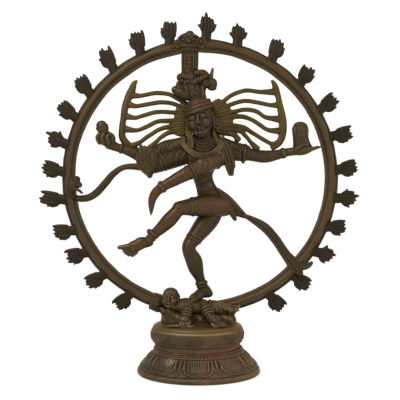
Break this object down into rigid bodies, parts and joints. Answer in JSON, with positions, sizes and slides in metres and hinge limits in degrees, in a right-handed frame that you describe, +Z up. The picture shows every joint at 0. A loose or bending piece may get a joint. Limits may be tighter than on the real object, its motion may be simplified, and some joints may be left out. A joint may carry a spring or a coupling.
{
  "type": "ring-framed dancing figure statue",
  "caption": "Cast brass statue of a four-armed dancer inside an upright ring of flames, standing on a small figure on an oval lotus pedestal.",
  "frame": {"origin": "middle of the pedestal's underside, on the surface it stands on", "axes": "+Z up, the ring standing in the X-Z plane, the figure facing -Y"},
  "size_m": [0.2722, 0.0856, 0.305],
  "materials": {
    "pedestal_brass": "dark brown patina over cast brass, worn brighter on the rims",
    "ring_brass": "dark brown patina over cast brass",
    "flame_brass": "dark brown patina over cast brass, worn tips",
    "figure_brass": "reddish brown patina, polished by handling on the limbs",
    "ornament_brass": "olive patina, bright on raised edges",
    "hair_brass": "olive yellow worn brass",
    "cloth_brass": "brown patina over cast brass",
    "braze": "copper-coloured braze, satin",
    "fixing_steel": "dull plated steel"
  },
  "bodies": {
    "root": {"lotus_foot": "pedestal_brass", "braze_bead": "braze", "pedestal_drum": "pedestal_brass", "plinth_studs": "fixing_steel", "stud_washers": "fixing_steel", "stud_nuts": "fixing_steel", "dwarf_plinth": "pedestal_brass", "dwarf_body": "figure_brass", "flame_ring": "ring_brass", "ring_clamp": "ring_brass", "dwarf_head": "figure_brass", "dwarf_left_arm": "figure_brass", "dwarf_right_arm": "figure_brass", "standing_leg": "figure_brass", "torso": "figure_brass", "neck": "figure_brass", "head": "figure_brass", "raised_leg": "figure_brass", "drum_arm": "figure_brass", "fire_arm": "figure_brass", "hand_drum": "ornament_brass", "fire_bowl": "ornament_brass", "blessing_arm": "figure_brass", "swinging_arm": "figure_brass", "collar_necklace": "ornament_brass", "shoulder_scarf": "cloth_brass", "earring": "ornament_brass", "hair_fan_left": "hair_brass", "hair_fan_right": "hair_brass", "headdress": "ornament_brass", "crest_column": "ornament_brass", "crest_clasp": "ornament_brass", "waist_cloth": "cloth_brass", "ribbon_sash": "cloth_brass", "serpent_band": "cloth_brass", "flame_01": "flame_brass", "flame_02": "flame_brass", "flame_03": "flame_brass", "flame_04": "flame_brass", "flame_05": "flame_brass", "flame_06": "flame_brass", "flame_07": "flame_brass", "flame_08": "flame_brass", "flame_09": "flame_brass", "flame_10": "flame_brass", "flame_11": "flame_brass", "flame_12": "flame_brass", "flame_13": "flame_brass", "flame_14": "flame_brass", "flame_15": "flame_brass", "flame_16": "flame_brass", "flame_17": "flame_brass", "flame_18": "flame_brass", "flame_19": "flame_brass", "flame_20": "flame_brass", "flame_21": "flame_brass", "flame_22": "flame_brass", "flame_23": "flame_brass", "flame_24": "flame_brass"}
  },
  "joints": []
}
